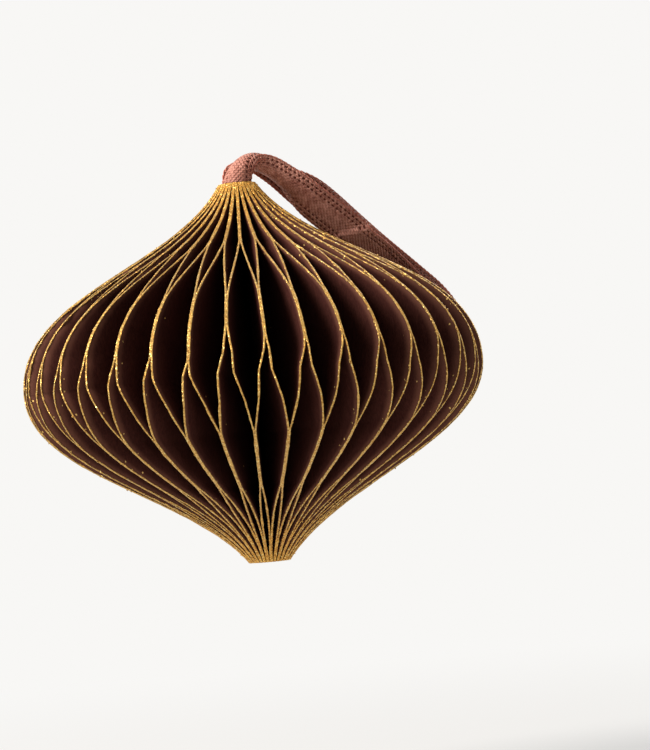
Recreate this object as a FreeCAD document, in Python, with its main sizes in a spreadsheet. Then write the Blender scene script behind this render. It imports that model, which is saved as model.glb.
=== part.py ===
# Honeycomb paper ornament: sheets of card stand on edge round one centre line.
# Each is glued to its left and its right neighbour in turn, in level stripes,
# so that the leaves open into rows of cells under an onion-shaped outline.
# A woven ribbon, folded into a hanging loop, comes out of the bore at the crown.
# Millimetres, +Z up, origin at the middle of the foot.
import FreeCAD, Part
import math
import os

Vector = FreeCAD.Vector

DRIVING_SIZES = {
    # the outline that the sheets are cut to
    "body_height": 70.2,
    "body_diameter": 85.0,
    "widest_height": 34.2,
    "foot_land": 1.0,        # width of a sheet's end at the foot
    "crown_land": 0.6,       # width of a sheet's end at the crown
    "foot_flare": 10.1,      # handles of the two cubic curves, foot to belly
    "foot_rise": 13.7,
    "belly_drop": 15.0,
    "shoulder_rise": 18.6,   # and belly to crown
    "neck_drop": 15.1,
    "neck_flare": 9.7,
    # rows of glue and of open cells, from the foot up
    "foot_glue": 2.5,
    "foot_cell": 11.8,
    "low_glue": 9.3,
    "waist_cell": 16.3,
    "mid_glue": 7.8,
    "shoulder_cell": 9.7,    # the crown's glue takes the rest of the height
    # how late a cell's walls part from their glue line: 1 is at once, in straight lines
    "foot_ease": 1.2,
    "waist_ease": 1.3,
    "shoulder_ease": 1.6,
    # the crease across every sheet at the belly: degrees aside, and how far up and down it fades
    "crease_angle": 0.7,
    "crease_above": 5.0,
    "crease_below": 8.0,
    # the card
    "pair_count": 36,
    "sheet_thickness": 0.24,
    "spine_clearance": 0.02,
    "band_height": 3.5,      # tallest flat facet of a sheet
    # the ribbon
    "ribbon_width": 7.0,
    "gathered_width": 4.2,   # where it is curled up in the bore
    "ribbon_thickness": 0.4,
    "gathered_rise": 7.0,    # how far out of the bore it stays curled
    "ribbon_spread": 8.0,    # and how far beyond that it opens out
}

# The ribbon's route: up the front of the bore, over, down behind the right shoulder,
# round the end of the loop and back up to the rear of the bore.
RIBBON_ROUTE = [
    (0.0, -1.3, 60.0), (0.0, -1.3, 66.0), (0.0, -1.3, 71.2), (0.8, -0.9, 74.0),
    (3.2, 2.2, 75.4), (6.6, 6.0, 73.4), (11.1, 7.2, 69.6), (15.4, 8.6, 65.8),
    (20.0, 11.4, 61.0), (24.8, 15.2, 56.6), (30.6, 19.4, 52.6), (36.4, 23.6, 48.2),
    (39.6, 27.4, 42.4), (41.0, 29.8, 36.4), (38.0, 27.4, 33.0), (36.4, 25.0, 37.8),
    (35.6, 22.8, 44.4), (30.8, 17.4, 50.8), (25.4, 11.8, 55.6), (19.4, 7.8, 61.0),
    (14.3, 5.2, 65.5), (9.9, 3.7, 69.6), (6.0, 3.0, 73.0), (2.2, 2.0, 74.0),
    (0.1, 1.3, 71.6), (0.0, 1.3, 68.0), (0.0, 1.3, 60.0),
]
# The way that the ribbon's width lies at each point of the route.
RIBBON_SIDES = [
    (1.0, 0.0, 0.0), (1.0, 0.0, 0.0), (1.0, -0.02, 0.0), (0.8, -0.6, -0.05),
    (0.5, -0.84, 0.2), (0.52, -0.66, 0.54), (0.66, -0.32, 0.68), (0.66, -0.15, 0.74),
    (0.66, -0.25, 0.7), (0.6, -0.5, 0.62), (0.5, -0.78, 0.36), (0.5, -0.86, 0.1),
    (0.52, -0.85, 0.0), (0.52, -0.85, 0.0), (0.52, -0.85, 0.0), (0.52, -0.85, 0.0),
    (0.52, -0.85, 0.1), (0.5, -0.82, 0.25), (0.56, -0.64, 0.5), (0.62, -0.42, 0.66),
    (0.62, -0.42, 0.66), (0.52, -0.64, 0.56), (0.5, -0.78, 0.38), (0.62, -0.78, 0.05),
    (0.98, -0.2, -0.05), (1.0, 0.0, 0.0), (1.0, 0.0, 0.0),
]
RIBBON_STATIONS = 56


def make_sheet_of_sizes(doc):
    """The driving dimensions, and those that follow from them, in one spreadsheet."""
    sizes = doc.addObject("Spreadsheet::Sheet", "sizes")
    formulas = {
        "crown_glue": "=body_height - foot_glue - foot_cell - low_glue - waist_cell"
                      " - mid_glue - shoulder_cell",
        "pair_angle": "=360 / pair_count",
        "bore_radius": "=sheet_thickness / tan(180 deg / pair_count) + spine_clearance",
        "foot_radius": "=bore_radius + foot_land",
        "crown_radius": "=bore_radius + crown_land",
    }
    row = 0
    for name, value in list(DRIVING_SIZES.items()) + list(formulas.items()):
        row += 1
        sizes.set(f"A{row}", name)
        sizes.set(f"B{row}", str(value))
        sizes.setAlias(f"B{row}", name)
        doc.recompute()
    return sizes


def outline_curves(sizes):
    """The cut edge of a sheet: two cubic curves that meet upright at the belly."""
    belly = Vector(sizes.body_diameter / 2, 0, sizes.widest_height)
    foot = Vector(sizes.foot_radius, 0, 0)
    crown = Vector(sizes.crown_radius, 0, sizes.body_height)
    lower = Part.BezierCurve()
    lower.setPoles([foot, foot + Vector(sizes.foot_flare, 0, sizes.foot_rise),
                    belly - Vector(0, 0, sizes.belly_drop), belly])
    upper = Part.BezierCurve()
    upper.setPoles([belly, belly + Vector(0, 0, sizes.shoulder_rise),
                    crown + Vector(sizes.neck_flare, 0, -sizes.neck_drop), crown])
    return lower, upper


def outline_radius(curves, height):
    """Radius of the outline at a height, found by halving along the curve."""
    lower, upper = curves
    curve = lower if height <= lower.EndPoint.z else upper
    low, high = 0.0, 1.0
    for _ in range(50):
        middle = (low + high) / 2
        if curve.value(middle).z < height:
            low = middle
        else:
            high = middle
    return curve.value((low + high) / 2).x


def glue_rows(sizes):
    """The rows from the foot up: lowest level, highest level, how far a sheet leans at each
    (0 where it is glued to the other sheet of its pair, 1 where to the next pair), and ease."""
    plan = [("foot_glue", 1, 1, None), ("foot_cell", 1, 0, "foot_ease"),
            ("low_glue", 0, 0, None), ("waist_cell", 0, 1, "waist_ease"),
            ("mid_glue", 1, 1, None), ("shoulder_cell", 1, 0, "shoulder_ease"),
            ("crown_glue", 0, 0, None)]
    rows = []
    level = 0.0
    for name, lean_low, lean_high, ease in plan:
        top = level + getattr(sizes, name)
        rows.append((level, top, lean_low, lean_high, getattr(sizes, ease) if ease else 1.0))
        level = top
    return rows


def lean_at(rows, height):
    """How far a sheet leans at a height: it leaves its own pair's glue line at a sharp angle,
    and eases in to the next pair's."""
    for low, high, lean_low, lean_high, ease in rows:
        if height <= high or high == rows[-1][1]:
            share = (height - low) / (high - low)
            if lean_low == lean_high:
                return lean_low
            return 1 - share ** ease if lean_low == 1 else 1 - (1 - share) ** ease


def crease_turn(sizes, height):
    """Degrees that the crease at the belly carries every sheet aside, the same way."""
    above = height - sizes.widest_height
    reach = sizes.crease_above if above > 0 else sizes.crease_below
    return -sizes.crease_angle * max(0.0, 1 - abs(above) / reach)


def facet_heights(sizes, rows):
    """Levels where a sheet's flat facets meet: the rows' borders, the belly, and between."""
    marks = sorted({row[0] for row in rows} | {rows[-1][1], sizes.widest_height})
    levels = [marks[0]]
    for low, high in zip(marks, marks[1:]):
        count = math.ceil((high - low) / sizes.band_height)
        levels += [low + (high - low) * step / count for step in range(1, count + 1)]
    return levels


def flat_facets(corners):
    """One face where four corners lie in a plane, else two triangles."""
    first, second, third, fourth = corners
    across = (second - first).cross(third - first)
    if abs(across.normalize().dot(fourth - first)) < 1e-6:
        return [Part.Face(Part.makePolygon([first, second, third, fourth, first]))]
    return [Part.Face(Part.makePolygon([first, second, third, first])),
            Part.Face(Part.makePolygon([first, third, fourth, first]))]


def strip_solid(sections):
    """A solid of flat facets through a row of four-cornered sections. Its two broad sides are
    split along the same diagonal, so that it keeps its thickness where it twists."""
    faces = flat_facets(sections[0]) + flat_facets(sections[-1])
    for here, there in zip(sections, sections[1:]):
        for near, far in ((0, 1), (1, 2), (0, 3), (3, 2)):
            faces += flat_facets([here[near], here[far], there[far], there[near]])
    solid = Part.Solid(Part.Shell(faces))
    if solid.Volume < 0:
        solid.reverse()
    return solid


def sheet_section(sizes, curves, rows, height, hand):
    """The four corners of one sheet at a height: a thin radial strip that leans from its own
    pair's middle plane to the next pair's, on the left (hand 1) or the right (hand -1)."""
    lean = lean_at(rows, height)
    turn = hand * sizes.pair_angle / 2 * lean + crease_turn(sizes, height)
    angle = math.radians(turn)
    along = Vector(math.cos(angle), math.sin(angle), 0)
    across = Vector(-math.sin(angle), math.cos(angle), 0) * hand
    near = -lean * sizes.sheet_thickness
    far = near + sizes.sheet_thickness
    rim = outline_radius(curves, height)
    level = Vector(0, 0, height)
    return [level + along * radius + across * offset
            for radius, offset in ((sizes.bore_radius, near), (rim, near),
                                   (rim, far), (sizes.bore_radius, far))]


def glued_pair(sizes):
    """A left and a right sheet, glued together where neither leans."""
    curves = outline_curves(sizes)
    rows = glue_rows(sizes)
    levels = facet_heights(sizes, rows)
    left, right = [strip_solid([sheet_section(sizes, curves, rows, height, hand)
                                for height in levels]) for hand in (1, -1)]
    return left.fuse(right).removeSplitter()


def ribbon_band(sizes):
    """The ribbon as a flat band along its route, narrower where it is curled in the bore."""
    route = Part.BSplineCurve()
    route.buildFromPoles([Vector(*point) for point in RIBBON_ROUTE], False, 2)
    sides = Part.BSplineCurve()
    sides.buildFromPoles([Vector(*side) for side in RIBBON_SIDES], False, 2)
    sections = []
    for centre in route.discretize(Number=RIBBON_STATIONS + 1):
        place = route.parameter(centre)
        tangent = Vector(*route.tangent(place)[0])
        side = sides.value(place).normalize()
        normal = side.cross(tangent)
        slant = max(normal.Length, 0.5)
        beyond_crown = Vector(centre.x, 0, max(centre.z - sizes.body_height, 0)).Length
        opened = min(max(beyond_crown - sizes.gathered_rise, 0) / sizes.ribbon_spread, 1)
        width = sizes.gathered_width + (sizes.ribbon_width - sizes.gathered_width) * opened
        half_side = side * (width / slant / 2)
        half_normal = normal.normalize() * (sizes.ribbon_thickness / 2)
        sections.append([centre - half_side - half_normal, centre + half_side - half_normal,
                         centre + half_side + half_normal, centre - half_side + half_normal])
    print("ribbon length %.1f mm" % route.length())
    return strip_solid(sections)


doc = FreeCAD.newDocument("honeycomb_ornament")
sizes = make_sheet_of_sizes(doc)

sub_parts = []
pair_shape = glued_pair(sizes)
for index in range(int(sizes.pair_count)):
    pair = doc.addObject("Part::Feature", "sheet_pair_%02d" % (index + 1))
    pair.Label = pair.Name
    pair.Shape = pair_shape
    pair.Placement = FreeCAD.Placement(Vector(0, 0, 0), Vector(0, 0, 1), 0)
    pair.setExpression("Placement.Rotation.Angle", "sizes.pair_angle * %d" % index)
    sub_parts.append(pair)

ribbon = doc.addObject("Part::Feature", "hanging_ribbon")
ribbon.Label = ribbon.Name
ribbon.Shape = ribbon_band(sizes)
ribbon.Placement = FreeCAD.Placement()
sub_parts.append(ribbon)

doc.recompute()
for item in doc.Objects:
    if "Invalid" in item.State or "Error" in item.State:
        raise RuntimeError(f"{item.Label} didn't recompute: {item.State}")
for item in sub_parts:
    if item.Shape.isNull() or not item.Shape.isValid():
        raise RuntimeError(f"{item.Label} has no valid shape")

os.makedirs("parts", exist_ok=True)
for item in sub_parts:
    item.Shape.exportStep(f"parts/{item.Label}.step")
print("pieces %d, height %.1f, bore radius %.3f" % (
    len(sub_parts), sizes.body_height, sizes.bore_radius))
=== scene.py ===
import math
import random
from bisect import bisect_right

import bmesh
import bpy
from mathutils import Matrix, Vector, geometry, noise


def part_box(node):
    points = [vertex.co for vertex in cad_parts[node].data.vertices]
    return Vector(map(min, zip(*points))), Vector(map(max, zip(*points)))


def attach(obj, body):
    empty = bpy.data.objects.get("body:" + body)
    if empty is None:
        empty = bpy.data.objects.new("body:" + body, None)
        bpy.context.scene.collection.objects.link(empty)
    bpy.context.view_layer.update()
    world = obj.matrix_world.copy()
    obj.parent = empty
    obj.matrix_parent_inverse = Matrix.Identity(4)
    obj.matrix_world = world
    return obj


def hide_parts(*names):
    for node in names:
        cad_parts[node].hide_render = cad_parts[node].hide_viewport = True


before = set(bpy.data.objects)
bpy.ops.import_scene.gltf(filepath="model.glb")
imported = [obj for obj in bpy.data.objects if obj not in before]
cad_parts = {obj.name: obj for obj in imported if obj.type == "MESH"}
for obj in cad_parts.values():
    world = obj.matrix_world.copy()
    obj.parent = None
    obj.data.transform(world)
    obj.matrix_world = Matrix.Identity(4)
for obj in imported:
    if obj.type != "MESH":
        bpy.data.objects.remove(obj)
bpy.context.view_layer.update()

# Honeycomb paper ornament: sheets of card stand on edge round one centre line, glued left and
# right in turn in level stripes, with gilded edges and a woven ribbon loop at the crown.
# Sizes are millimetres, made metres by MM where they become a mesh.
MM = 0.001
SEED = 36
PAIR_NODES = sorted(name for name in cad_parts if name.startswith("sheet_pair_"))
PAIR_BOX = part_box(PAIR_NODES[0])

# the outline that the sheets are cut to
BODY_HEIGHT = PAIR_BOX[1].z / MM
BELLY = Vector((42.5, 0, 34.2))
FOOT = Vector((3.76, 0, 0))
CROWN = Vector((3.36, 0, BODY_HEIGHT))
FOOT_HANDLE = Vector((10.1, 0, 13.7))
BELLY_DROP = 15.0
SHOULDER_RISE = 18.6
NECK_HANDLE = Vector((9.7, 0, -15.1))
BORE_RADIUS = 2.763
RIM_STEP = 0.7

# the card and its rows of glue: height of each stripe's border and how far it wanders
PAIR_ANGLE = math.radians(360 / len(PAIR_NODES))
CARD_THICKNESS = 0.24
FOOT_GLUE_TOP = (2.5, 0.5)
LOW_GLUE_START = (14.3, 0.5)
LOW_GLUE_END = (23.6, 0.6)
MID_GLUE_START = (40.4, 0.6)
MID_GLUE_END = (47.7, 0.6)
CROWN_GLUE_START = (57.0, 0.5)
# the crown's glue lies higher at the front and the back, a little turned
CROWN_GLUE_SWING, SWING_TURN = 1.8, math.radians(10)
# the middle stripe's lower border tilts down to its low side
MID_GLUE_TILT, LOW_SIDE = 1.5, math.radians(325)
# it also steps up where the stack's first and last sheets were glued together: its two ends
# are off by the slip there, one down and one up, and about a third of that is left a fade away
CLOSING_SEAM, CLOSING_SLIP, SLIP_FADE = math.radians(260), 4.7, math.radians(11)
# how a sheet's lean sets in beside its glue; 1 is a straight lean
FOOT_EASE, WAIST_EASE, SHOULDER_EASE = 1.2, 1.18, 1.6
# a crease beside the belly, deepest on the side that was pressed, left of the front
CREASE_TURN = math.radians(0.85)
CREASE_ABOVE, CREASE_BELOW = 3.6, 5.0
CREASE_MEAN, CREASE_SWING, PRESSED_SIDE = 0.55, 0.5, math.radians(225)
FAN_CROWDING = math.radians(1.8)    # sheets stand closer at the front and the back
SEAM_WANDER = math.radians(0.25)
CARD_BOW = 0.3
CARD_COLUMNS = 6

# the gilding on the cut edges
GILT_RADIUS = 0.165         # half the bead's width
GILT_DEPTH = 0.6            # how far it stands out, as a share of that
GILT_SIDES = 6
GILT_ROUGHNESS = 0.2        # how far its skin is off that width, as a share
GILT_LUMPS, LUMP_TURN = 0.8, 0.16
LOAD_SWING, LOADED_SIDE = 0.13, math.radians(200)   # it lies thicker on one side
CRUMBS_PER_SHEET = 8
CRUMB_RADIUS = (0.09, 0.2)
BIG_CRUMB, BIG_CRUMB_SHARE = 1.5, 0.12
CRUMB_SPREAD = 0.09
CRUMB_LIFT = (-0.1, 0.22)
CRUMB_WIDTH, CRUMB_DEPTH = 0.8, (0.35, 0.8)

# the ribbon
RIBBON_WIDTH = 7.0
RIBBON_THICKNESS = 0.34
GROUND_THICKNESS = 0.08
GROUND_LAP = 0.05           # how far the ground runs on under the cloth beside an eyelet
RIBBON_STEP = 0.25
BORE_CURL = 1 / 2.55        # how sharply its width is curled up in the bore
NO_CURL = 0.01              # below this it counts as flat
CURLED_RISE = 7.0           # how far out of the bore it stays curled
UNCURLED_RISE = 15.0        # and where it lies flat
EDGE_WAVE, WAVE_TURN = 0.12, 0.045      # its edges wave gently along it
LEAST_SLANT = 0.5           # so its side is lengthened to twice at most where it leans along it
RIBBON_ROUTE = [
    (0.0, -1.3, 60.0), (0.0, -1.3, 66.0), (0.0, -1.3, 71.2), (0.8, -0.9, 74.0),
    (3.2, 2.2, 75.4), (6.6, 6.0, 73.4), (11.1, 7.2, 69.6), (15.4, 8.6, 65.8),
    (20.0, 11.4, 61.0), (24.8, 15.2, 56.6), (30.6, 19.4, 52.6), (36.4, 23.6, 48.2),
    (39.6, 27.4, 42.4), (41.0, 29.8, 36.4), (38.0, 27.4, 33.0), (36.4, 25.0, 37.8),
    (35.6, 22.8, 44.4), (30.8, 17.4, 50.8), (25.4, 11.8, 55.6), (19.4, 7.8, 61.0),
    (14.3, 5.2, 65.5), (9.9, 3.7, 69.6), (6.0, 3.0, 73.0), (2.2, 2.0, 74.0),
    (0.1, 1.3, 71.6), (0.0, 1.3, 68.0), (0.0, 1.3, 60.0),
]
RIBBON_SIDES = [
    (1.0, 0.0, 0.0), (1.0, 0.0, 0.0), (1.0, -0.02, 0.0), (0.8, -0.6, -0.05),
    (0.5, -0.84, 0.2), (0.52, -0.66, 0.54), (0.66, -0.32, 0.68), (0.66, -0.15, 0.74),
    (0.66, -0.25, 0.7), (0.6, -0.5, 0.62), (0.5, -0.78, 0.36), (0.5, -0.86, 0.1),
    (0.52, -0.85, 0.0), (0.52, -0.85, 0.0), (0.52, -0.85, 0.0), (0.52, -0.85, 0.0),
    (0.52, -0.85, 0.1), (0.5, -0.82, 0.25), (0.56, -0.64, 0.5), (0.62, -0.42, 0.66),
    (0.62, -0.42, 0.66), (0.52, -0.64, 0.56), (0.5, -0.78, 0.38), (0.62, -0.78, 0.05),
    (0.98, -0.2, -0.05), (1.0, 0.0, 0.0), (1.0, 0.0, 0.0),
]
# Across half the ribbon: cloth, then two staggered rows of eyelets, then the firm selvedge.
RIBBON_COLUMNS = [0.0, 0.5, 1.0, 1.4, 1.75, 2.15, 2.35, 2.55, 2.95, 3.3]
INNER_EYELETS, OUTER_EYELETS = (1.75, 2.15), (2.55, 2.95)
EYELET_PITCH = 4            # ribbon steps from eyelet to eyelet
PICOT_REACH = 0.16
PICOT_RADIUS = 0.14
PICOT_SIDES = 5
PICOT_LEAN, PICOT_LIFT = 1.1, 0.1       # the loops lean back by this many ribbon steps
# one soft fold crosses the ribbon aslant where it turns behind the shoulder on its way back
FOLD_PLACE = 122.3
FOLD_SLANT = -0.72
FOLD_RISE = 0.7
FOLD_ABOVE, FOLD_BELOW = 0.45, 4.0


# ---------- camera, light and stage ----------

def srgb(red, green, blue):
    """A colour as a colour picker gives it, 0 to 255, turned to Blender's linear values."""
    return [((c / 255 + 0.055) / 1.055) ** 2.4 for c in (red, green, blue)] + [1.0]


def make_camera():
    """Level with the lower belly and a little right of the front, tilted as the ornament hangs."""
    distance, eye_level, turn, roll = 584.0, 18.34, math.radians(1.0), 0.0883
    aim = Vector((13.17, 0, 33.44))
    data = bpy.data.cameras.new("camera")
    data.lens = 151.3
    data.clip_start, data.clip_end = 0.01, 20.0
    camera = bpy.data.objects.new("camera", data)
    eye = Vector((0, -distance, eye_level))
    facing = (aim - eye).to_track_quat("-Z", "Y").to_matrix().to_4x4()
    place = Matrix.Translation(eye * MM) @ facing @ Matrix.Rotation(-roll, 4, "Z")
    camera.matrix_world = Matrix.Rotation(turn, 4, "Z") @ place
    bpy.context.scene.collection.objects.link(camera)
    bpy.context.scene.camera = camera


def make_lamp(name, place, size, power, colour):
    """A square soft box that faces the middle of the ornament; place in metres."""
    data = bpy.data.lights.new(name, "AREA")
    data.size, data.energy, data.color = size, power, colour
    lamp = bpy.data.objects.new(name, data)
    middle = Vector((0, 0, BODY_HEIGHT / 2 * MM))
    lamp.location = place
    lamp.rotation_euler = (middle - Vector(place)).to_track_quat("-Z", "Y").to_euler()
    bpy.context.scene.collection.objects.link(lamp)


STUDIO_WHITE = srgb(248, 247, 245)
FLOOR_DROP, FLOOR_RADIUS = 0.045, 6.0


def seen_directly(nodes, links):
    """1 for rays that come straight, off gloss or through glass, 0 for diffuse light."""
    path = nodes.new("ShaderNodeLightPath")
    first = nodes.new("ShaderNodeMath")
    first.operation = "ADD"
    links.new(path.outputs["Is Camera Ray"], first.inputs[0])
    links.new(path.outputs["Is Glossy Ray"], first.inputs[1])
    total = nodes.new("ShaderNodeMath")
    total.operation = "ADD"
    total.use_clamp = True
    links.new(first.outputs[0], total.inputs[0])
    links.new(path.outputs["Is Transmission Ray"], total.inputs[1])
    return total.outputs[0]


def make_world():
    """Soft light from all round, in front of a plain pale backdrop."""
    world = bpy.data.worlds.new("studio")
    bpy.context.scene.world = world
    world.use_nodes = True
    nodes, links = world.node_tree.nodes, world.node_tree.links
    nodes.clear()
    backdrop = nodes.new("ShaderNodeBackground")
    backdrop.inputs["Color"].default_value = STUDIO_WHITE
    light = nodes.new("ShaderNodeBackground")
    light.inputs["Color"].default_value = srgb(244, 240, 236)
    light.inputs["Strength"].default_value = 0.18
    mix = nodes.new("ShaderNodeMixShader")
    output = nodes.new("ShaderNodeOutputWorld")
    links.new(seen_directly(nodes, links), mix.inputs["Fac"])
    links.new(light.outputs[0], mix.inputs[1])
    links.new(backdrop.outputs[0], mix.inputs[2])
    links.new(mix.outputs[0], output.inputs["Surface"])


def make_floor():
    """A wide pale floor, well below the ornament. It fades into the backdrop away from it."""
    mesh = bpy.data.meshes.new("floor")
    bm = bmesh.new()
    bmesh.ops.create_circle(bm, cap_ends=True, segments=64, radius=FLOOR_RADIUS)
    bmesh.ops.translate(bm, verts=bm.verts, vec=(0, 0, -FLOOR_DROP))
    bm.to_mesh(mesh)
    bm.free()
    floor = bpy.data.objects.new("floor", mesh)
    bpy.context.scene.collection.objects.link(floor)
    material = bpy.data.materials.new("pale_floor")
    material.use_nodes = True
    nodes, links = material.node_tree.nodes, material.node_tree.links
    nodes.clear()
    matt = nodes.new("ShaderNodeBsdfDiffuse")
    matt.inputs["Color"].default_value = srgb(238, 237, 235)
    glow = nodes.new("ShaderNodeEmission")
    glow.inputs["Color"].default_value = STUDIO_WHITE
    mix = nodes.new("ShaderNodeMixShader")
    place = nodes.new("ShaderNodeTexCoord")
    away = nodes.new("ShaderNodeVectorMath")
    away.operation = "LENGTH"
    fade = nodes.new("ShaderNodeMapRange")
    fade.interpolation_type = "SMOOTHSTEP"
    fade.inputs["From Min"].default_value = 0.02
    fade.inputs["From Max"].default_value = 0.4
    fade.inputs["To Min"].default_value = 0.6
    share = nodes.new("ShaderNodeMath")
    share.operation = "MULTIPLY"
    output = nodes.new("ShaderNodeOutputMaterial")
    links.new(place.outputs["Object"], away.inputs[0])
    links.new(away.outputs["Value"], fade.inputs["Value"])
    links.new(seen_directly(nodes, links), share.inputs[0])
    links.new(fade.outputs["Result"], share.inputs[1])
    links.new(share.outputs[0], mix.inputs["Fac"])
    links.new(matt.outputs[0], mix.inputs[1])
    links.new(glow.outputs[0], mix.inputs[2])
    links.new(mix.outputs[0], output.inputs["Surface"])
    mesh.materials.append(material)


# ---------- mesh helpers ----------

def finished_piece(name, bm, material, smooth=True):
    """The bmesh, in millimetres, as a piece at the origin in metres."""
    bmesh.ops.scale(bm, verts=bm.verts, vec=(MM, MM, MM))
    mesh = bpy.data.meshes.new(name)
    bm.to_mesh(mesh)
    bm.free()
    mesh.materials.append(material)
    for face in mesh.polygons:
        face.use_smooth = smooth
    piece = bpy.data.objects.new(name, mesh)
    bpy.context.scene.collection.objects.link(piece)
    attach(piece, "root")
    return piece


def even_places(points, step):
    """Places at even distances along a line of points: index of the point before, and share
    of the way to the next."""
    travelled = [0.0]
    for here, there in zip(points, points[1:]):
        travelled.append(travelled[-1] + (there - here).length)
    count = round(travelled[-1] / step)
    places = []
    for number in range(count + 1):
        goal = travelled[-1] * number / count
        index = min(bisect_right(travelled, goal), len(points) - 1) - 1
        gap = travelled[index + 1] - travelled[index]
        places.append((index, (goal - travelled[index]) / gap))
    return places


def at(values, place):
    return values[place[0]].lerp(values[place[0] + 1], place[1])


def grid_on(bm, columns, rows, place_of):
    """A grid of faces whose corner in each column and row goes where place_of says."""
    made = bmesh.ops.create_grid(bm, x_segments=columns, y_segments=rows, size=0.5)["verts"]
    uv = bm.loops.layers.uv.verify()
    spots = {}
    for vert in made:
        column = round((vert.co.x + 0.5) * columns)
        row = round((vert.co.y + 0.5) * rows)
        spots[vert] = (column, row)
    for vert, (column, row) in spots.items():
        vert.co, across, along = place_of(column, row)
        for loop in vert.link_loops:
            loop[uv].uv = (across, along)
    return made


def skin_along(bm, stations, sides, radius_of):
    """A closed thread round stations of (centre, out, aside): a grid wrapped shut and capped."""
    def corner(column, row):
        centre, out, aside = stations[row]
        turn = 2 * math.pi * column / sides
        radius = radius_of(row, column % sides)
        return centre + (out * math.cos(turn) + aside * math.sin(turn)) * radius, column, row
    made = grid_on(bm, sides, len(stations) - 1, corner)
    bmesh.ops.remove_doubles(bm, verts=made, dist=1e-5)
    kept = [vert for vert in made if vert.is_valid]
    borders = {edge for vert in kept for edge in vert.link_edges if edge.is_boundary}
    bmesh.ops.holes_fill(bm, edges=list(borders), sides=0)


# ---------- card sheets ----------

def outline_stations():
    """Even steps along the cut edge, from the foot over the belly to the crown."""
    lower = geometry.interpolate_bezier(FOOT, FOOT + FOOT_HANDLE,
                                        BELLY - Vector((0, 0, BELLY_DROP)), BELLY, 300)
    upper = geometry.interpolate_bezier(BELLY, BELLY + Vector((0, 0, SHOULDER_RISE)),
                                        CROWN + NECK_HANDLE, CROWN, 300)
    points = lower + upper[1:]
    return [at(points, place) for place in even_places(points, RIM_STEP)]


def wander(angle, row, reach):
    """A smooth unevenness that closes on itself once round the ornament, up to about reach."""
    spot = Vector((math.cos(angle) * 3, math.sin(angle) * 3, row * 7.3))
    return noise.noise(spot) * 2 * reach


def fan_angle(angle, row):
    """Where a glue line stands, for its even place round the ornament."""
    return angle + FAN_CROWDING * math.sin(2 * angle) + wander(angle, row, SEAM_WANDER)


def stripe_border(border, angle, row):
    height, reach = border
    return height + wander(angle, row, reach)


def seam_slip(angle):
    """How far the middle stripe's lower border is off its level: it tilts a little, and steps
    up at the closing seam."""
    beyond = (angle - CLOSING_SEAM + math.pi) % (2 * math.pi) - math.pi
    step = math.copysign(CLOSING_SLIP * math.exp(-abs(beyond) / SLIP_FADE), beyond)
    return step - MID_GLUE_TILT * math.cos(angle - LOW_SIDE)


class CardSheet:
    """One sheet of a pair: it leans from its own pair's glue line to the next pair's, on the
    left (hand 1) or the right (hand -1)."""

    def __init__(self, pair_turn, hand):
        self.hand = hand
        own = pair_turn
        following = pair_turn + hand * PAIR_ANGLE / 2
        self.bore_angles = own, following
        self.rim_angles = fan_angle(own, 1), fan_angle(following, 2)
        swing = CROWN_GLUE_SWING * math.cos(2 * own + SWING_TURN)
        slip = seam_slip(following)
        self.rows = [
            (0.0, 1, 1, 1.0),
            (stripe_border(FOOT_GLUE_TOP, following, 3), 1, 0, FOOT_EASE),
            (stripe_border(LOW_GLUE_START, own, 4), 0, 0, 1.0),
            (stripe_border(LOW_GLUE_END, own, 5), 0, 1, WAIST_EASE),
            (stripe_border(MID_GLUE_START, following, 6) + slip, 1, 1, 1.0),
            (stripe_border(MID_GLUE_END, following, 7), 1, 0, SHOULDER_EASE),
            (stripe_border(CROWN_GLUE_START, own, 8) - swing, 0, 0, 1.0),
        ]
        self.crease = CREASE_TURN * (CREASE_MEAN + CREASE_SWING * math.cos(own - PRESSED_SIDE))

    def lean(self, height):
        """How far the sheet leans to the next pair, 0 to 1, at a height."""
        starts = [row[0] for row in self.rows]
        index = min(bisect_right(starts, height), len(starts)) - 1
        low, lean_low, lean_high, ease = self.rows[index]
        if lean_low == lean_high:
            return lean_low
        share = (height - low) / (starts[index + 1] - low)
        return 1 - share ** ease if lean_low == 1 else 1 - (1 - share) ** ease

    def frame_at(self, height, share=1.0):
        """Directions along and across the sheet at a height and a share of the way out, and
        its middle's offset. The sheets fill the bore's wall evenly and drift towards the rim."""
        lean = self.lean(height)
        above = height - BELLY.z
        reach = CREASE_ABOVE if above > 0 else CREASE_BELOW
        at_bore, at_rim = [angles[0] * (1 - lean) + angles[1] * lean
                           for angles in (self.bore_angles, self.rim_angles)]
        at_rim -= self.crease * max(0.0, 1 - abs(above) / reach)
        turn = at_bore * (1 - share) + at_rim * share
        along = Vector((math.cos(turn), math.sin(turn), 0))
        across = Vector((-math.sin(turn), math.cos(turn), 0)) * self.hand
        return along, across, (0.5 - lean) * CARD_THICKNESS, 4 * lean * (1 - lean)

    def point(self, rim, share):
        """The middle of the card at a rim station's height, share of the way out to the rim."""
        along, across, offset, free = self.frame_at(rim.z, share)
        radius = BORE_RADIUS + (rim.x - BORE_RADIUS) * share
        bow = free * CARD_BOW * math.sin(math.pi * share)
        return Vector((0, 0, rim.z)) + along * radius + across * (offset + bow)


def sheets_of(index):
    return [CardSheet(PAIR_ANGLE * index, hand) for hand in (1, -1)]


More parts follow.
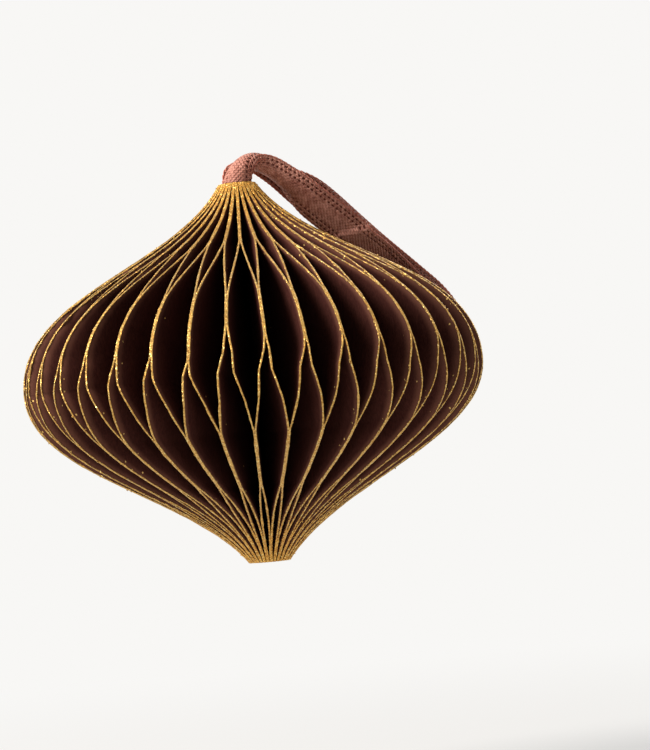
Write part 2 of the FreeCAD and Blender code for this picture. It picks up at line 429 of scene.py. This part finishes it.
def card_pair(index, rims, material):
    """Two sheets of card, each a grid from the bore to the rim, given their thickness."""
    bm = bmesh.new()
    for sheet in sheets_of(index):
        def corner(column, row):
            share = column / CARD_COLUMNS
            rim = rims[row]
            depth = (rim.x - BORE_RADIUS) * (1 - share)
            return sheet.point(rim, share), depth, row * RIM_STEP + index * 200
        grid_on(bm, CARD_COLUMNS, len(rims) - 1, corner)
    bmesh.ops.recalc_face_normals(bm, faces=bm.faces)
    piece = finished_piece("card_pair_%02d" % (index + 1), bm, material)
    wall = piece.modifiers.new("thickness", "SOLIDIFY")
    wall.thickness = CARD_THICKNESS * MM
    wall.offset = 0
    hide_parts(PAIR_NODES[index])


def gilt_stations(sheet, rims):
    """Centres and cross directions for the gilding along one sheet's cut edge."""
    centres = [sheet.point(rim, 1) for rim in rims]
    stations = []
    for row, rim in enumerate(rims):
        ahead = centres[min(row + 1, len(rims) - 1)] - centres[max(row - 1, 0)]
        across = sheet.frame_at(rim.z)[1]
        out = across.cross(ahead).normalized() * sheet.hand
        if out.x * centres[row].x + out.y * centres[row].y < 0:
            out.negate()
        stations.append((centres[row], out, across))
    return stations


def gilding(index, rims, material):
    """The rough bead of glitter and varnish on the pair's cut edges, with loose crumbs."""
    draw = random.Random(SEED + index)
    bm = bmesh.new()
    for sheet in sheets_of(index):
        stations = gilt_stations(sheet, rims)
        load = 1 + LOAD_SWING * math.cos(sheet.bore_angles[0] - LOADED_SIDE)
        lumps = [noise.noise(Vector((row * LUMP_TURN, index * 9, sheet.hand)))
                 for row in range(len(stations))]
        swell = [load + GILT_LUMPS * max(0.0, lump) for lump in lumps]
        rough = [[GILT_RADIUS * width * draw.uniform(1 - GILT_ROUGHNESS, 1 + GILT_ROUGHNESS)
                  for _ in range(GILT_SIDES)] for width in swell]
        bead = [(centre, out * GILT_DEPTH, across) for centre, out, across in stations]
        skin_along(bm, bead, GILT_SIDES, lambda row, column: rough[row][column])
        for _ in range(CRUMBS_PER_SHEET):
            centre, out, across = stations[draw.randrange(1, len(stations) - 1)]
            size = draw.uniform(*CRUMB_RADIUS)
            size *= BIG_CRUMB if draw.random() < BIG_CRUMB_SHARE else 1
            aside = draw.gauss(0, CRUMB_SPREAD)
            place = centre + out * draw.uniform(*CRUMB_LIFT) + across * aside
            turn = Matrix.Rotation(draw.uniform(0, math.pi), 4, (draw.random(), draw.random(), 1))
            shape = Matrix.Diagonal((1.0, CRUMB_WIDTH, draw.uniform(*CRUMB_DEPTH), 1.0))
            bmesh.ops.create_icosphere(bm, subdivisions=1, radius=size,
                                       matrix=Matrix.Translation(place) @ turn @ shape)
    bmesh.ops.recalc_face_normals(bm, faces=bm.faces)
    piece = finished_piece("gilded_edge_%02d" % (index + 1), bm, material, smooth=False)


# ---------- ribbon ----------

def spline_points(name, route):
    """Points read from a smooth spline whose control points are the route's, in millimetres."""
    curve = bpy.data.curves.new(name, "CURVE")
    curve.dimensions = "3D"
    spline = curve.splines.new("NURBS")
    spline.points.add(len(route) - 1)
    for point, spot in zip(spline.points, route):
        point.co = (*[value * MM for value in spot], 1)
    spline.order_u = 3
    spline.use_endpoint_u = True
    spline.resolution_u = 16
    line = bpy.data.objects.new(name, curve)
    bpy.context.scene.collection.objects.link(line)
    mesh = bpy.data.meshes.new_from_object(line)
    points = [vert.co / MM for vert in mesh.vertices]
    bpy.data.objects.remove(line)
    bpy.data.meshes.remove(mesh)
    return points


class RibbonLine:
    """Even stations along the ribbon, with the way its width lies and how far it is curled."""

    def __init__(self):
        route = spline_points("ribbon_route", RIBBON_ROUTE)
        sides = spline_points("ribbon_sides", RIBBON_SIDES)
        places = even_places(route, RIBBON_STEP)
        self.centres = [at(route, place) for place in places]
        self.stations = []
        last = len(self.centres) - 1
        for row, place in enumerate(places):
            centre = self.centres[row]
            ahead = self.centres[min(row + 1, last)] - self.centres[max(row - 1, 0)]
            side = at(sides, place).normalized()
            normal = side.cross(ahead.normalized())
            slant = max(normal.length, LEAST_SLANT)
            rise = Vector((centre.x, 0, max(centre.z - BODY_HEIGHT, 0))).length
            flat = min(max((rise - CURLED_RISE) / (UNCURLED_RISE - CURLED_RISE), 0), 1)
            curl = BORE_CURL * (1 - flat * flat * (3 - 2 * flat))
            self.stations.append((centre, side / slant, normal.normalized(), curl))

    def point(self, row, across, lift=0.0):
        """A point of the ribbon: across its width and lifted off its middle surface."""
        centre, side, normal, curl = self.stations[row]
        ripple = EDGE_WAVE * math.sin(row * WAVE_TURN) * (2 * across / RIBBON_WIDTH) ** 2
        past = row * RIBBON_STEP - FOLD_PLACE - FOLD_SLANT * across
        spread = FOLD_ABOVE if past > 0 else FOLD_BELOW
        ripple += FOLD_RISE * math.exp(-(past / spread) ** 2)
        if curl < NO_CURL:
            return centre + side * across + normal * (lift + ripple)
        reach = 1 / curl
        half = RIBBON_WIDTH / 2 * curl
        heart = reach * math.sin(half) / half
        turn = across * curl
        lifted = reach + lift
        return centre + side * lifted * math.sin(turn) + normal * (lifted * math.cos(turn) - heart)


def ribbon_weave(line, material):
    """The woven band, with two staggered rows of eyelets beside each selvedge."""
    columns = [-place for place in reversed(RIBBON_COLUMNS[1:])] + RIBBON_COLUMNS
    last = len(line.stations) - 1
    bm = bmesh.new()

    def corner(column, row):
        across = columns[column]
        return line.point(row, across), across, row * RIBBON_STEP
    grid_on(bm, len(columns) - 1, last, corner)
    uv = bm.loops.layers.uv.verify()
    eyelets = []
    for face in bm.faces:
        middle = sum((loop[uv].uv for loop in face.loops), Vector((0, 0))) / len(face.loops)
        step = int(middle.y / RIBBON_STEP)
        for low, high in (INNER_EYELETS, OUTER_EYELETS):
            stagger = 0 if low == INNER_EYELETS[0] else EYELET_PITCH // 2
            if low < abs(middle.x) < high and (step + stagger) % EYELET_PITCH < 2:
                eyelets.append(face)
    bmesh.ops.delete(bm, geom=eyelets, context="FACES")
    piece = finished_piece("ribbon_weave", bm, material)
    wall = piece.modifiers.new("thickness", "SOLIDIFY")
    wall.thickness = RIBBON_THICKNESS * MM
    wall.offset = 0
    return piece


def ribbon_shaded_ground(line, material):
    """The thin net of ground threads at the bottom of the eyelets, coloured dark as painted shade
    in the eyelets.
    """
    bm = bmesh.new()
    rows = range(0, len(line.stations), 2)
    for hand in (1, -1):
        for inner, outer in (INNER_EYELETS, OUTER_EYELETS):
            edges = (hand * (inner - GROUND_LAP), hand * (outer + GROUND_LAP))
            grid_on(bm, 1, len(rows) - 1, lambda column, row: (
                line.point(rows[row], edges[column]), edges[column], row * RIBBON_STEP * 2))
    piece = finished_piece("ribbon_shaded_ground", bm, material)
    wall = piece.modifiers.new("thickness", "SOLIDIFY")
    wall.thickness = GROUND_THICKNESS * MM
    wall.offset = 0
    return piece


def ribbon_picots(line, material):
    """The selvedge threads, which loop outwards once for every eyelet."""
    bm = bmesh.new()
    edge = RIBBON_COLUMNS[-1]
    last = len(line.stations) - 1
    for hand in (1, -1):
        path = []
        for tick in range(2 * last + 1):
            turn = math.pi * tick / EYELET_PITCH
            row = min(max(tick / 2 - PICOT_LEAN * math.sin(turn), 0), last)
            low = int(row)
            across = hand * (edge + PICOT_REACH / 2 * (1 - math.cos(turn)))
            lift = PICOT_LIFT * math.sin(turn)
            here = line.point(low, across, lift)
            path.append(here.lerp(line.point(min(low + 1, last), across, lift), row - low))
        stations = []
        for tick, centre in enumerate(path):
            ahead = path[min(tick + 1, len(path) - 1)] - path[max(tick - 1, 0)]
            normal = line.stations[min(tick // 2, last)][2]
            aside = ahead.cross(normal).normalized()
            stations.append((centre, aside.cross(ahead).normalized(), aside))
        skin_along(bm, stations, PICOT_SIDES, lambda row, column: PICOT_RADIUS)
    bmesh.ops.recalc_face_normals(bm, faces=bm.faces)
    piece = finished_piece("ribbon_picots", bm, material)
    return piece


def hanging_ribbon(weave_material, thread_material, eyelet_shade_material):
    line = RibbonLine()
    weave = ribbon_weave(line, weave_material)
    picots = ribbon_picots(line, thread_material)
    ground = ribbon_shaded_ground(line, eyelet_shade_material)
    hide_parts("hanging_ribbon")


# ---------- finishes ----------

# painted light on the card beside its cut edge: how far in and how strong; and how much of the
# card loose flakes of gilding cover at the edge and elsewhere
RIM_LIGHT_REACH, RIM_LIGHT_SHARE = 2.2, 0.36
DUST_AT_RIM, DUST_INSIDE = 0.005, 0.0001
# metres from the ornament's middle level at which the painted shade on the gold sets in
CROWD_SHADE_FROM, CROWD_SHADE_TO = 0.02, 0.034
GLINT_FROM = 0.93           # flakes past this chance are pale glints
YARN_SHARE = 0.42

def node_group(name, inputs, outputs):
    """An empty shader group with named sockets, its nodes and links, and its two ends."""
    group = bpy.data.node_groups.new(name, "ShaderNodeTree")
    for socket, kind, value in inputs:
        made = group.interface.new_socket(socket, in_out="INPUT", socket_type=kind)
        if value is not None:
            made.default_value = value
    for socket, kind in outputs:
        group.interface.new_socket(socket, in_out="OUTPUT", socket_type=kind)
    start = group.nodes.new("NodeGroupInput")
    end = group.nodes.new("NodeGroupOutput")
    return group, start.outputs, end.inputs


def math_node(tree, operation, *values):
    """A Math node on values that are sockets or numbers; returns its output."""
    node = tree.nodes.new("ShaderNodeMath")
    node.operation = operation
    for slot, value in zip(node.inputs, values):
        if isinstance(value, (int, float)):
            slot.default_value = value
        else:
            tree.links.new(value, slot)
    return node.outputs[0]


def ramp_between(tree, value, low, high):
    """0 below low, 1 above high, smooth between."""
    node = tree.nodes.new("ShaderNodeMapRange")
    node.interpolation_type = "SMOOTHSTEP"
    node.inputs["From Min"].default_value = low
    node.inputs["From Max"].default_value = high
    tree.links.new(value, node.inputs["Value"])
    return node.outputs["Result"]


def mix_colour(tree, share, first, second):
    """A colour Mix node; first and second are sockets or colours."""
    node = tree.nodes.new("ShaderNodeMix")
    node.data_type = "RGBA"
    for slot, value in ((node.inputs[0], share), (node.inputs[6], first), (node.inputs[7], second)):
        if isinstance(value, (int, float, list)):
            slot.default_value = value
        else:
            tree.links.new(value, slot)
    return node.outputs[2]


def make_fibre_grain():
    """Matted fibres: a blotchy tone and a fine height, for card and for yarn."""
    group, given, put = node_group(
        "fibre_grain", [("Vector", "NodeSocketVector", None), ("Scale", "NodeSocketFloat", 1.0)],
        [("Tone", "NodeSocketFloat"), ("Height", "NodeSocketFloat")])
    blotch = group.nodes.new("ShaderNodeTexNoise")
    blotch.inputs["Scale"].default_value = 90.0
    blotch.inputs["Detail"].default_value = 5.0
    stretch = group.nodes.new("ShaderNodeMapping")
    stretch.inputs["Scale"].default_value = (1.0, 1.0, 0.35)
    fibre = group.nodes.new("ShaderNodeTexNoise")
    fibre.inputs["Detail"].default_value = 3.0
    fibre.inputs["Distortion"].default_value = 1.5
    group.links.new(given["Vector"], blotch.inputs["Vector"])
    group.links.new(given["Vector"], stretch.inputs["Vector"])
    group.links.new(stretch.outputs[0], fibre.inputs["Vector"])
    group.links.new(given["Scale"], fibre.inputs["Scale"])
    fine = math_node(group, "MULTIPLY", fibre.outputs[0], 0.6)
    coarse = math_node(group, "MULTIPLY", blotch.outputs[0], 0.4)
    group.links.new(math_node(group, "ADD", fine, coarse), put["Tone"])
    group.links.new(fibre.outputs[0], put["Height"])
    return group


def make_glitter_flakes():
    """Flakes of glitter: each cell has a shade and a tilt of its own."""
    group, given, put = node_group(
        "glitter_flakes",
        [("Vector", "NodeSocketVector", None), ("Normal", "NodeSocketVector", None),
         ("Flakes", "NodeSocketFloat", 4000.0), ("Tilt", "NodeSocketFloat", 0.8)],
        [("Shade", "NodeSocketFloat"), ("Chance", "NodeSocketFloat"),
         ("Normal", "NodeSocketVector")])
    cells = group.nodes.new("ShaderNodeTexVoronoi")
    group.links.new(given["Vector"], cells.inputs["Vector"])
    group.links.new(given["Flakes"], cells.inputs["Scale"])
    parts = group.nodes.new("ShaderNodeSeparateColor")
    group.links.new(cells.outputs["Color"], parts.inputs[0])
    group.links.new(parts.outputs[0], put["Shade"])
    group.links.new(parts.outputs[1], put["Chance"])
    centred = group.nodes.new("ShaderNodeVectorMath")
    centred.operation = "SUBTRACT"
    centred.inputs[1].default_value = (0.5, 0.5, 0.5)
    group.links.new(cells.outputs["Color"], centred.inputs[0])
    scaled = group.nodes.new("ShaderNodeVectorMath")
    scaled.operation = "SCALE"
    group.links.new(centred.outputs[0], scaled.inputs[0])
    group.links.new(given["Tilt"], scaled.inputs["Scale"])
    total = group.nodes.new("ShaderNodeVectorMath")
    total.operation = "ADD"
    group.links.new(given["Normal"], total.inputs[0])
    group.links.new(scaled.outputs[0], total.inputs[1])
    unit = group.nodes.new("ShaderNodeVectorMath")
    unit.operation = "NORMALIZE"
    group.links.new(total.outputs[0], unit.inputs[0])
    group.links.new(unit.outputs[0], put["Normal"])
    return group


def make_thread_weave():
    """Plain weave on a map in millimetres: where threads lie, and how high they stand."""
    group, given, put = node_group(
        "thread_weave", [("Map", "NodeSocketVector", None), ("Pitch", "NodeSocketFloat", 0.4)],
        [("Thread", "NodeSocketFloat"), ("Height", "NodeSocketFloat")])
    axes = group.nodes.new("ShaderNodeSeparateXYZ")
    group.links.new(given["Map"], axes.inputs[0])
    turn = math_node(group, "DIVIDE", math.pi, given["Pitch"])
    waves = [math_node(group, "SINE", math_node(group, "MULTIPLY", axes.outputs[side], turn))
             for side in (0, 1)]
    height = math_node(group, "MULTIPLY", *waves)
    group.links.new(height, put["Height"])
    lit = math_node(group, "POWER", math_node(group, "ABSOLUTE", height), 0.6)
    group.links.new(lit, put["Thread"])
    return group


class Finish:
    """A material under way: its tree, its shader, and helpers to feed them."""

    def __init__(self, name, roughness, metallic=0.0, specular=0.5):
        self.material = bpy.data.materials.new(name)
        self.material.use_nodes = True
        self.tree = self.material.node_tree
        self.shader = self.tree.nodes["Principled BSDF"]
        self.shader.inputs["Roughness"].default_value = roughness
        self.shader.inputs["Metallic"].default_value = metallic
        self.shader.inputs["Specular IOR Level"].default_value = specular
        places = self.tree.nodes.new("ShaderNodeTexCoord")
        self.place, self.map = places.outputs["Object"], places.outputs["UV"]

    def group(self, group, values, **numbers):
        node = self.tree.nodes.new("ShaderNodeGroup")
        node.node_tree = group
        for socket, value in values.items():
            self.tree.links.new(value, node.inputs[socket])
        for socket, value in numbers.items():
            node.inputs[socket].default_value = value
        return node.outputs

    def feed(self, socket, value):
        self.tree.links.new(value, self.shader.inputs[socket])

    def bump(self, height, strength, distance):
        node = self.tree.nodes.new("ShaderNodeBump")
        node.inputs["Strength"].default_value = strength
        node.inputs["Distance"].default_value = distance
        self.tree.links.new(height, node.inputs["Height"])
        return node

    def surface_normal(self):
        return self.tree.nodes.new("ShaderNodeNewGeometry").outputs["Normal"]


def plum_card_finish(grain, flakes):
    """Uncoated dark plum card, with painted light beside its cut edge and flakes of gilding that
    strayed on to it.
    """
    finish = Finish("plum_card", 0.85, specular=0.03)
    tree = finish.tree
    fibres = finish.group(grain, {"Vector": finish.place}, Scale=2600.0)
    card = mix_colour(tree, ramp_between(tree, fibres["Tone"], 0.3, 0.7),
                      srgb(54, 27, 23), srgb(76, 41, 35))
    axes = tree.nodes.new("ShaderNodeSeparateXYZ")
    tree.links.new(finish.map, axes.inputs[0])
    inside = ramp_between(tree, axes.outputs[0], 0.0, RIM_LIGHT_REACH)
    near_rim = math_node(tree, "SUBTRACT", 1.0, inside)
    # painted light: the card is coloured lighter and warmer beside its cut edge
    painted_rim_light = math_node(tree, "MULTIPLY", near_rim, RIM_LIGHT_SHARE)
    rim_lit_card = mix_colour(tree, painted_rim_light, card, srgb(158, 106, 86))
    dust = finish.group(flakes, {"Vector": finish.place}, Flakes=3600.0)
    falls = math_node(tree, "MULTIPLY_ADD", near_rim, DUST_AT_RIM, DUST_INSIDE)
    gilt = math_node(tree, "GREATER_THAN", falls, dust["Chance"])
    finish.feed("Base Color", mix_colour(tree, gilt, rim_lit_card, srgb(250, 206, 122)))
    finish.feed("Normal", finish.bump(fibres["Height"], 0.35, 0.00006).outputs[0])
    return finish.material


def gold_glitter_finish(flakes):
    """Gold glitter in varnish: flakes from bronze to pale gold, each tilted its own way."""
    finish = Finish("gold_glitter", 0.36, metallic=0.72)
    tree = finish.tree
    flake = finish.group(flakes, {"Vector": finish.place, "Normal": finish.surface_normal()},
                         Flakes=5200.0, Tilt=1.0)
    body = mix_colour(tree, flake["Shade"], srgb(168, 117, 46), srgb(238, 195, 110))
    # painted shade: deeper, more saturated gold where the cut edges crowd together, at the crown
    # and the foot
    axes = tree.nodes.new("ShaderNodeSeparateXYZ")
    tree.links.new(finish.place, axes.inputs[0])
    from_middle = math_node(tree, "ABSOLUTE", math_node(
        tree, "SUBTRACT", axes.outputs[2], BODY_HEIGHT / 2 * MM))
    crowd_shade = ramp_between(tree, from_middle, CROWD_SHADE_FROM, CROWD_SHADE_TO)
    body = mix_colour(tree, crowd_shade, body, mix_colour(
        tree, flake["Shade"], srgb(166, 108, 32), srgb(242, 188, 92)))
    glint = math_node(tree, "GREATER_THAN", flake["Chance"], GLINT_FROM)
    finish.feed("Base Color", mix_colour(tree, glint, body, srgb(254, 229, 148)))
    finish.feed("Roughness", math_node(tree, "MULTIPLY_ADD", flake["Shade"], -0.16, 0.46))
    finish.feed("Normal", flake["Normal"])
    return finish.material


def rose_weave_finish(grain, weave):
    """Dusty rose ribbon in plain weave, with painted shade in the gaps between its threads."""
    finish = Finish("rose_weave", 0.42, specular=0.16)
    tree = finish.tree
    threads = finish.group(weave, {"Map": finish.map}, Pitch=0.4)
    yarn = finish.group(grain, {"Vector": finish.place}, Scale=1300.0)
    # painted shade: the gaps between the threads are coloured dark
    colour = mix_colour(tree, threads["Thread"], srgb(110, 42, 31), srgb(255, 174, 150))
    tone = ramp_between(tree, yarn["Tone"], 0.34, 0.6)
    finish.feed("Base Color", mix_colour(tree, YARN_SHARE, colour, mix_colour(
        tree, tone, srgb(112, 44, 33), srgb(255, 190, 168))))
    finish.feed("Normal", finish.bump(threads["Height"], 0.8, 0.0001).outputs[0])
    return finish.material


def rose_thread_finish(grain, name, dark, light):
    """Single yarns of the ribbon's edge."""
    finish = Finish(name, 0.6, specular=0.12)
    tree = finish.tree
    yarn = finish.group(grain, {"Vector": finish.place}, Scale=3000.0)
    tone = ramp_between(tree, yarn["Tone"], 0.3, 0.7)
    finish.feed("Base Color", mix_colour(tree, tone, dark, light))
    finish.feed("Normal", finish.bump(yarn["Height"], 0.5, 0.00005).outputs[0])
    return finish.material


make_camera()
make_world()
make_floor()
make_lamp("key_light", (-0.75, -0.32, 0.7), 0.5, 14.5, (1.0, 0.97, 0.93))
make_lamp("fill_light", (0.7, -0.5, 0.25), 0.6, 0.2, (1.0, 0.98, 0.96))
make_lamp("back_light", (0.4, 0.95, 0.5), 0.6, 2.8, (1.0, 0.98, 0.96))

fibre_grain = make_fibre_grain()
glitter_flakes = make_glitter_flakes()
plum_card = plum_card_finish(fibre_grain, glitter_flakes)
gold_glitter = gold_glitter_finish(glitter_flakes)
hanging_ribbon(
    rose_weave_finish(fibre_grain, make_thread_weave()),
    rose_thread_finish(fibre_grain, "rose_thread", srgb(170, 90, 73), srgb(250, 168, 144)),
    # the eyelets' ground net is coloured dark as painted shade in the eyelets
    rose_thread_finish(fibre_grain, "eyelet_painted_shade", srgb(92, 48, 40), srgb(138, 82, 68)))
RIMS = outline_stations()
for pair_index in range(len(PAIR_NODES)):
    card_pair(pair_index, RIMS, plum_card)
    gilding(pair_index, RIMS, gold_glitter)

bpy.context.scene.view_settings.view_transform = "Standard"
